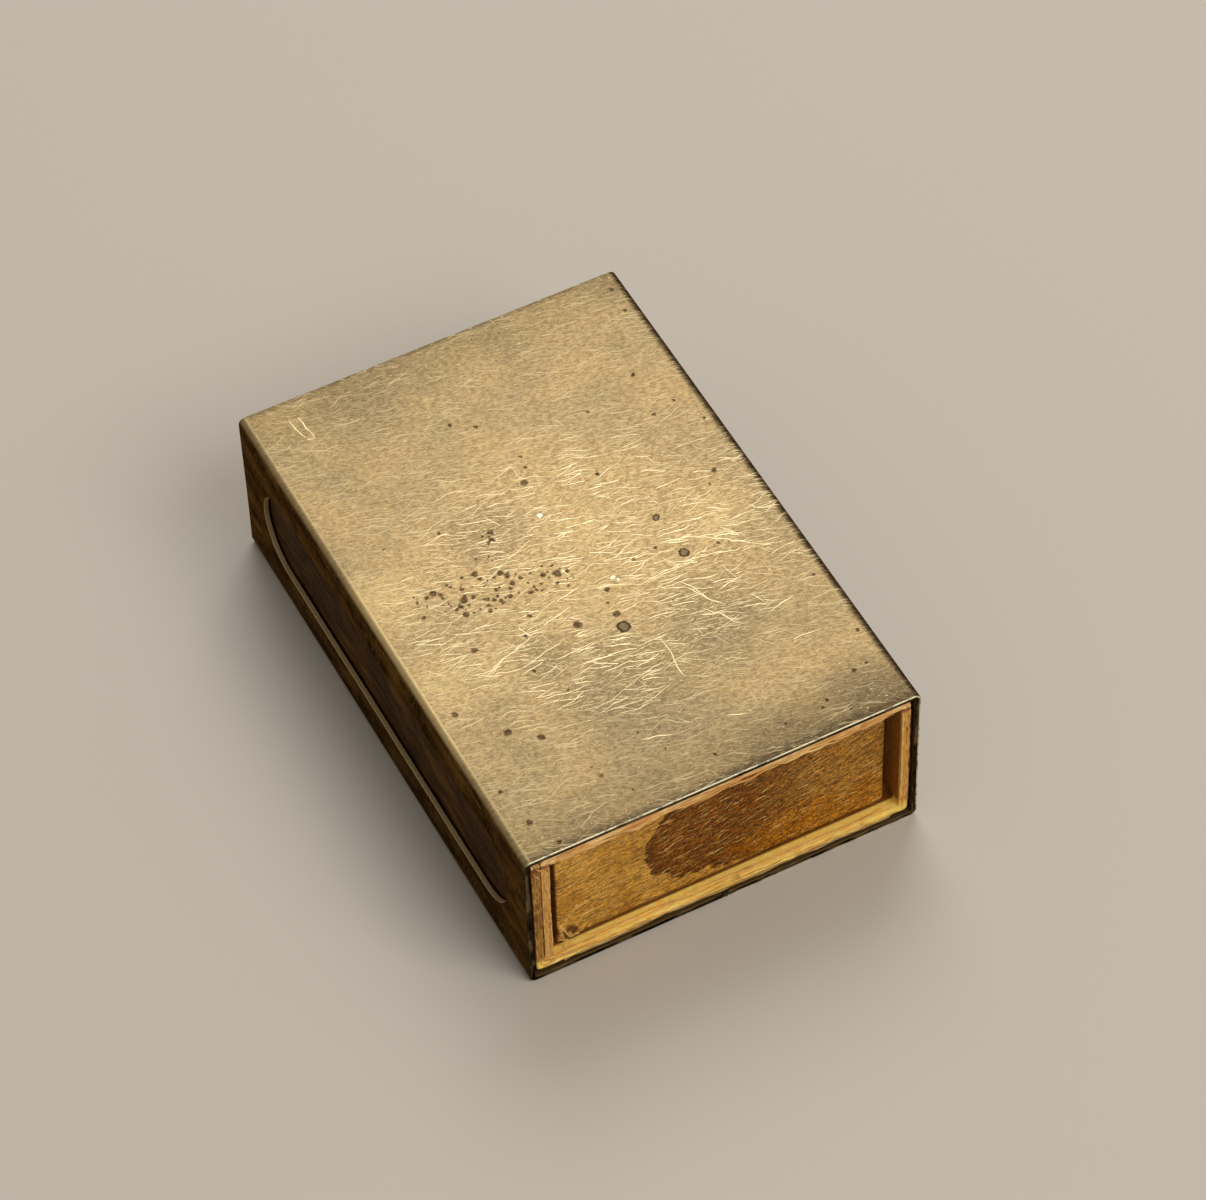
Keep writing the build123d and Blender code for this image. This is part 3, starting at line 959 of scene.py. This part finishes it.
# The labels
# Plain paper pasted on both broad faces of the box, blank, browned by age and
# rubbed by the sleeve.
label_tear = 0.3 * mm
label_step = 0.9 * mm


def old_paper(name, pale, brown):
    paper = Finish(name, Specular_IOR_Level=0.15)
    cloud = paper.noise(paper.place, 5.0, detail=3)
    fibre = paper.noise(paper.turned(paper.place, (0, 0, 25), (4, 1, 1)), 0.14)
    fox = paper.noise(paper.place, 1.1)
    face = paper.tinted(brown, pale, cloud, 0.35, 0.68)
    face = paper.tinted(face, (236, 214, 168), fibre, 0.58, 0.7, 0.2)
    face = paper.tinted(face, (128, 88, 46), fox, 0.64, 0.74, 0.6)
    paper.bump(fibre, 0.015 * mm)
    return paper, face


label_paper, label_face = old_paper("label paper", (206, 178, 128), (178, 142, 88))
label_finish = label_paper.paint(Base_Color=label_face, Roughness=0.75)
for level in ("top", "bottom"):
    label = flat_piece("blank_label_" + level, "label_" + level, "slipcase",
                       label_step, 2, label_tear)
    label.data.materials.append(label_finish)


# The tray
# One strip of veneer is folded into four walls that lap at the near end, round a
# veneer floor. Both are plain wood inside.
tray_wall = 0.8 * mm
tray_lap = 12.0 * mm
rim_low, rim_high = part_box("tray_rim")


def rim_line():
    left, right = rim_low.x + tray_wall / 2, rim_high.x - tray_wall / 2
    near, far = rim_low.y + tray_wall / 2, rim_high.y - tray_wall / 2
    lapped = near + tray_wall + lap_gap
    corner = rim_low.x + fold_outside
    return bent_line([(left + tray_lap, lapped), (left, lapped), (left, far), (right, far), (right, near),
                      (corner, near)], veneer_fold, tray_wall / 2, fold_outside)


rim_marks, rim_fold = rim_line()


def rim_place(along, depth, z):
    x, y = rim_fold(along, depth)
    if z > rim_high.z - 0.5 * mm:
        z -= 0.14 * mm * rough(1.5 * mm, along, depth * 3, 0.0)
    return x, y, z


tray_walls = new_piece("tray_walls", solid_grid("tray_walls", (
    fine_at_bends(rim_marks, 0.2 * mm, 0.8 * mm), spread(-tray_wall / 2, tray_wall / 2, tray_wall / 3),
    [rim_low.z, rim_low.z + 4 * mm, rim_high.z - 3 * mm, rim_high.z - 0.4 * mm, rim_high.z]), rim_place),
    "tray")
wear_edges(tray_walls, 0.04 * mm)
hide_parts("tray_rim")
wall_wood, wall_face, wall_hair = wood_veneer("tray veneer", (216, 170, 104), (184, 132, 68), (120, 76, 34))
tray_walls.data.materials.append(wall_wood.paint(
    Base_Color=wall_face, Roughness=wall_wood.ramp(wall_hair, 0.3, 0.7, 0.7, 0.55)))


def refinish(node, finish):
    """Gives a CAD node's mesh this material alone."""
    node.data.materials.clear()
    node.data.materials.append(finish)


refinish(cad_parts["tray_floor"], plain_wood(
    "tray floor veneer", (212, 164, 98), (180, 128, 66), (116, 74, 34), 0.65, place=None))


# The tray's paper
# Paper pasted round the tray and turned in underneath binds its walls to its floor.
# Its near end is rubbed, stained dark by damp, and torn at the lower left corner.
paper = 0.1 * mm
paper_turn_in = 4.0 * mm
paper_corner = fold_outside + paper
paper_joining = 0.0005 * mm
crumpled_part = 4.5 * mm
crumpled_step = 0.09 * mm
end_step = 0.25 * mm
side_step = 0.9 * mm
turn_in_step = 0.8 * mm
paper_low, paper_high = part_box("tray_paper")

# Creases where the paper has crumpled at its lower left corner, as x, z, x and z in millimetres.
creases = [
    (-14.9, 3.7, -15.2, 1.9), (-14.8, 3.7, -14.2, 2.3), (-14.2, 2.3, -13.3, 1.95), (-14.9, 3.1, -14.7, 1.9),
    (-14.2, 2.9, -13.9, 2), (-15.1, 2.3, -14.4, 1.9), (-14.5, 4.4, -13.5, 5.5), (-13.5, 5.5, -12.3, 5.9),
    (-13.4, 3.3, -12.8, 4.2), (-12.8, 4.2, -11.8, 4.4),
]


def to_crease(x, z):
    """How far a place on the paper is from the nearest crease."""
    least = far_off * mm
    spot = Vector((x, z))
    for x0, z0, x1, z1 in creases:
        start, run = Vector((x0, z0)) * mm, Vector((x1 - x0, z1 - z0)) * mm
        share = max(0.0, min(1.0, (spot - start).dot(run) / run.length_squared))
        least = min(least, (spot - start - run * share).length)
    return least


def stand_off(x, z):
    """How far the paper stands off the tray's near end."""
    slack = 0.07 * mm * rough(3.5 * mm, x, z, 1.0) + 0.03 * mm * rough(0.9 * mm, x, z, 2.0)
    ridge = 0.2 * mm * math.exp(-(to_crease(x, z) / (0.13 * mm)) ** 2)
    fold_x, fold_z = (x + 14.5 * mm) / (1.1 * mm), (z - 2.7 * mm) / (1.2 * mm)
    puffed = 0.25 * mm * max(0.0, 1 - fold_x ** 2 - fold_z ** 2)
    return slack + puffed + ridge


def paper_outline():
    """Spots round the tray, and a function from one of them and how far in it is to its place."""
    half = Vector(((paper_high.x - paper_low.x) / 2, (paper_high.y - paper_low.y) / 2))
    middle = Vector(((paper_high.x + paper_low.x) / 2, (paper_high.y + paper_low.y) / 2))
    spots = []
    for quarter in range(4):
        turn = Matrix.Rotation(math.pi / 2 * quarter, 2)
        size = half if quarter % 2 == 0 else Vector((half.y, half.x))
        low, high = -size.x + paper_corner, size.x - paper_corner
        straight = spread(low, high, side_step)
        if quarter == 0:
            crumpled = -size.x + crumpled_part
            straight = spread(low, crumpled, crumpled_step) + spread(crumpled, high, end_step)[1:]
        spots += [(turn, size, Vector((x, -size.y)), None) for x in straight]
        spots += [(turn, size, None, bend * math.pi / 2) for bend in spread(0, 1, 0.2)[1:-1]]

    def point(spot, inward):
        turn, size, straight, bend = spot
        reach = max(inward, paper_corner)
        if straight is not None:
            flat = Vector((max(-size.x + reach, min(size.x - reach, straight.x)), -size.y + inward))
        else:
            arm = max(0.0, paper_corner - inward)
            flat = Vector((size.x - reach + arm * math.sin(bend), -size.y + reach - arm * math.cos(bend)))
        return middle + turn @ flat

    return spots, point


def make_tray_paper():
    """The paper as rings round the tray, down its outside, in underneath, and back inside."""
    spots, point = paper_outline()
    crumpled = paper_low.z + crumpled_part
    heights = spread(paper_low.z, crumpled, crumpled_step) + spread(crumpled, paper_high.z, end_step)[1:]
    turned_in = spread(0, paper_turn_in, turn_in_step)[1:]
    outer = [(0, z) for z in reversed(heights)] + [(inward, paper_low.z) for inward in turned_in]
    inner = [(paper, max(z, paper_low.z + paper)) for z in reversed(heights)]
    inner += [(max(inward, paper), paper_low.z + paper) for inward in turned_in]
    rings = outer + inner[::-1]
    verts, grain, crease, faces = [], [], [], []
    for inward, z in rings:
        for spot in spots:
            flat = point(spot, inward)
            y = flat.y
            if inward <= paper and y < paper_low.y + 0.3 * mm:
                y -= stand_off(flat.x, z)
            top = paper_high.z - z
            lower = 0.12 * mm * rough(1.1 * mm, flat.x, flat.y, 0.0) if top < 0.3 * mm else 0.0
            verts.append((flat.x, y, z - lower))
            grain += [flat.x / mm, flat.y / mm, z / mm]
            crease.append(math.exp(-(to_crease(flat.x, z) / (0.1 * mm)) ** 2))
    count = len(spots)
    for row in range(len(rings)):
        here, there = row * count, (row + 1) % len(rings) * count
        for number in range(count):
            after = (number + 1) % count
            faces.append((here + number, here + after, there + after, there + number))
    return closed_mesh("tray_wrap", verts, faces, merge=paper_joining, crease=crease, grain=grain)


tray_wrap = new_piece("tray_wrap", make_tray_paper(), "tray")
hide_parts("tray_paper")

# Damp spots on the near end as x, z and radius, and the layers of its rubbed lines and dark fibres.
damp_spots = [(-1.3, 8.6, 5.6), (2.4, 9.4, 7.4), (7.5, 8, 7.4), (13, 7, 9), (17, 8, 9)]
rubbed_layers = ((12, 2.4, 0.5, 0.55), (3, 2, 0.55, 0.5), (26, 1.8, 0.6, 0.45))
strand_layers = ((9, 4.5, 1, 0.6), (-3, 3.5, 1.3, 0.5), (22, 3, 1.5, 0.45))


def binding_paper():
    paper, face = old_paper("tray paper", (230, 170, 72), (204, 142, 48))
    x, y, z = paper.split(paper.place)
    end = paper.ramp(y, -25.2, -25.6)
    flat = paper.joined(x, z)
    frayed = paper.wander(flat, 1.5, 0.9)
    damp = paper.spots(paper.flattened(frayed), damp_spots)
    wet = paper.times(paper.ramp(damp, 1.0, 0.95), paper.ramp(x, 14.0, 2.0, 0.5), end)
    tide = paper.times(wet, paper.ramp(damp, 0.8, 0.97), paper.ramp(x, 4.0, 0.0))
    orange = paper.times(end, paper.ramp(paper.oval(frayed, (10.0, 3.4), (8.5, 3.4)), 1.3, 0.4))
    face = paper.mix(wet, face, (132, 74, 5))
    face = paper.over(face, (92, 46, 8), tide, 0.6)
    face = paper.over(face, (188, 114, 8), orange, 0.75)

    solid = paper.joined(x, z, y)
    streak = paper.noise(paper.turned(solid, (0, 0, 10), (4, 1, 4)), 0.2, detail=4, roughness=0.75)
    grit = paper.noise(paper.turned(solid, (0, 0, 20), (1.6, 1, 1.6)), 0.22, detail=3, roughness=0.75)
    face = paper.scaled(face, streak, 0.38, 0.62, 0.56, 1.3)
    face = paper.scaled(face, grit, 0.4, 0.62, paper.ramp(wet, 0.0, 1.0, 0.72, 0.42),
                        paper.ramp(wet, 0.0, 1.0, 1.24, 1.66))
    bent = paper.wander(flat, 0.8, 0.3)
    rubbed_and_highlight = paper.ramp(paper.scratches(bent, rubbed_layers, 0.055), 1.0, 0.3)
    rubbed_and_highlight = paper.times(rubbed_and_highlight, paper.ramp(paper.noise(flat, 2.4), 0.4, 0.56, 0.4))
    # Painted glints: small light flecks, added to the rubbed lines.
    rubbed_and_highlight = paper.most(rubbed_and_highlight, paper.ramp(paper.noise(flat, 0.24, detail=1), 0.7, 0.76, 0.0, 0.8))
    strands = paper.ramp(paper.scratches(bent, strand_layers, 0.06), 1.0, 0.3, 0.0, 0.6)
    face = paper.over(face, (110, 62, 16), strands, end)
    shaded = paper.most(paper.ramp(z, 12.2, 14.2, 0.0, 0.5), paper.ramp(z, 2.15, 1.85, 0.0, 0.8))
    shaded = paper.most(shaded, paper.ramp(x, -15.0, -15.2, 0.0, 0.95))
    torn = paper.ramp(paper.oval(frayed, (-14.2, 2.7), (0.9, 1.1), 30), 1.1, 0.5, 0.0, 0.9)
    shaded = paper.most(shaded, torn)
    face = paper.over(face, (64, 32, 12), shaded, end)
    rubbed_and_highlight = paper.times(rubbed_and_highlight, paper.math("SUBTRACT", end, shaded))
    # Painted highlight: the crease ridges are light, with the rubbed lines.
    rubbed_and_highlight = paper.most(rubbed_and_highlight, paper.read("crease", "Fac"))
    face = paper.over(face, (250, 200, 112), rubbed_and_highlight, 0.85)
    relief = paper.plus(streak, paper.plus(grit, paper.times(rubbed_and_highlight, 0.8)))
    paper.bump(paper.math("SUBTRACT", relief, strands), 0.09 * mm)
    return paper.paint(Base_Color=face, Roughness=paper.ramp(streak, 0.3, 0.7, 0.6, 0.42))


tray_wrap.data.materials.append(binding_paper())


# The matches
# Square splints split from poplar, each with a head of dark red-brown paste. Three
# full layers lie with their heads at the near end, and six loose ones lie on them.
def match_paste():
    paste = Finish("match paste", Specular_IOR_Level=0.15)
    grit = paste.noise(paste.place, 0.16, detail=3, roughness=0.7)
    lumps = paste.noise(paste.place, 0.9)
    face = paste.tinted((74, 26, 18), (112, 42, 28), lumps, 0.3, 0.7)
    face = paste.tinted(face, (160, 92, 66), grit, 0.62, 0.75, 0.5)
    paste.bump(paste.plus(grit, lumps), 0.05 * mm)
    return paste.paint(Base_Color=face, Roughness=0.75)


splint_finish = plain_wood(
    "splint wood", (226, 192, 138), (202, 160, 100), (160, 116, 62), 0.65, place=None)
paste_finish = match_paste()
for name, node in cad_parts.items():
    if "match" in name:
        is_head = "head" in name
        refinish(node, paste_finish if is_head else splint_finish)
        if not is_head:
            join_faces(node)
            wear_edges(node, 0.06 * mm)


# The floor and the light
# A plain pale floor. One large soft light over the far right, whose image lies on the top of
# the sleeve, and one over the near right, which lights the open end. The left side stays dark.
floor = bpy.data.objects.new("floor", bpy.data.meshes.new("floor"))
bpy.context.collection.objects.link(floor)
reach = 3.0
floor_corners = [(-reach, -reach, 0), (reach, -reach, 0), (reach, reach, 0), (-reach, reach, 0)]
floor.data.from_pydata(floor_corners, [], [(0, 1, 2, 3)])
floor.data.materials.append(Finish("plain floor", Roughness=0.6).paint(Base_Color=(198, 188, 173)))

world = bpy.data.worlds.new("studio")
bpy.context.scene.world = world
world.use_nodes = True
world.node_tree.nodes["Background"].inputs["Color"].default_value = (1.0, 0.98, 0.95, 1)
world.node_tree.nodes["Background"].inputs["Strength"].default_value = 0.31


def soft_light(name, size, power, place):
    """A square light of this size, in metres, and power, in watts, that looks at the holder."""
    light = bpy.data.objects.new(name, bpy.data.lights.new(name, "AREA"))
    bpy.context.collection.objects.link(light)
    light.data.size = size
    light.data.energy = power
    light.location = place
    light.rotation_euler = (-light.location).to_track_quat("-Z", "Y").to_euler()


soft_light("far right light", 0.55, 3.1, (0.27, 0.52, 0.7))
soft_light("front light", 0.6, 5.0, (0.26, -0.6, 0.76))
